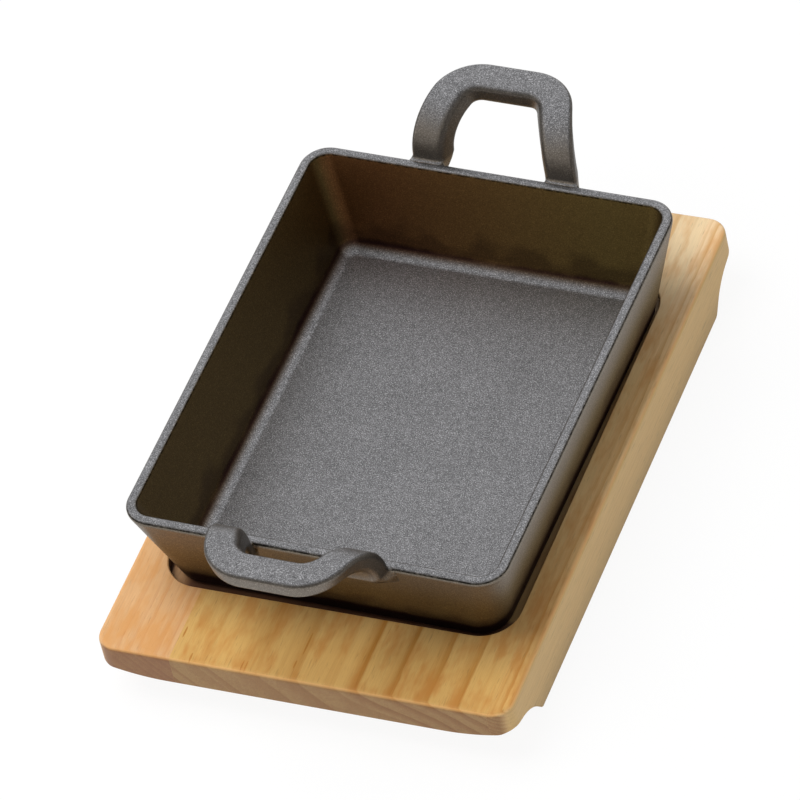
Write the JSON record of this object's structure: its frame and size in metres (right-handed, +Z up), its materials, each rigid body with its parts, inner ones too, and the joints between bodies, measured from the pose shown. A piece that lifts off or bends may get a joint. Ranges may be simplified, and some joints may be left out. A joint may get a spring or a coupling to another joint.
{
  "type": "serving pan",
  "caption": "Rectangular cast-iron serving pan with two upswept loop handles, standing loose in the recess of a wooden board with finger grips at both ends.",
  "frame": {"origin": "on the table, under the middle of the board", "axes": "+Z up, +Y along the board and pan from the front handle to the rear handle, +X to the narrow stave's side"},
  "size_m": [0.174, 0.278, 0.0939],
  "materials": {
    "iron": "matt seasoned black, fine sand-cast grain",
    "wood_left": "oiled softwood, reddish tan",
    "wood_middle": "oiled softwood, yellow tan with darker growth bands",
    "wood_right": "oiled softwood, orange tan"
  },
  "bodies": {
    "board": {"board_stave_left": "wood_left", "board_stave_middle": "wood_middle", "board_stave_right": "wood_right"},
    "pan": {"pan_casting": "iron"}
  },
  "joints": [
    {"name": "pan_lift", "type": "slide", "parent": "board", "child": "pan", "axis": [0, 0, 1], "range_m": [0, 0.08]}
  ]
}
